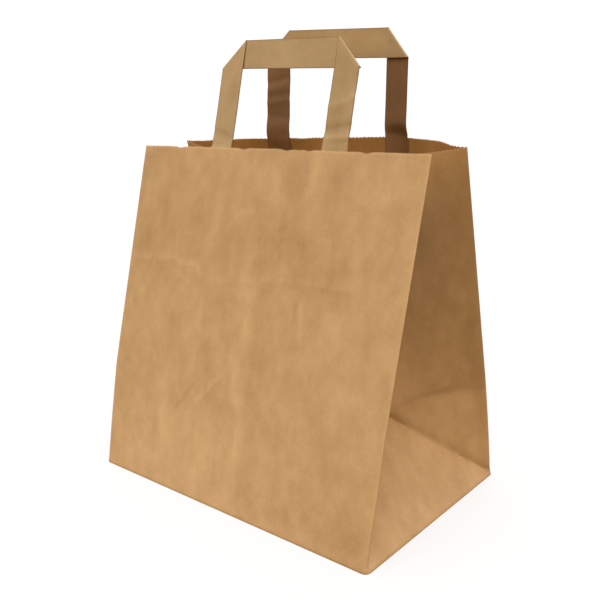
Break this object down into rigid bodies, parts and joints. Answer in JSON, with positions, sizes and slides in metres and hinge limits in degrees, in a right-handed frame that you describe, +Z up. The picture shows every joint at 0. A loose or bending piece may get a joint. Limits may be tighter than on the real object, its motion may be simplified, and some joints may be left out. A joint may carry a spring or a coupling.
{
  "type": "paper carrier bag",
  "caption": "Brown kraft paper carrier bag standing open, with a block bottom, tucked side gussets and two flat folded paper handles.",
  "frame": {"origin": "centre of the flat bottom, on the surface that the bag stands on", "axes": "+Z up the bag, +X along the wide panels, -Y out of the front panel, the one seen in the picture"},
  "size_m": [0.26, 0.17, 0.3348],
  "materials": {
    "bag_kraft": "uncoated brown kraft paper, lightly creased",
    "strap_kraft": "folded kraft paper strap, slightly greyer",
    "patch_kraft": "uncoated brown kraft paper"
  },
  "bodies": {
    "root": {"bag_body": "bag_kraft", "front_handle": "strap_kraft", "back_handle": "strap_kraft", "front_handle_patch": "patch_kraft", "back_handle_patch": "patch_kraft"}
  },
  "joints": []
}
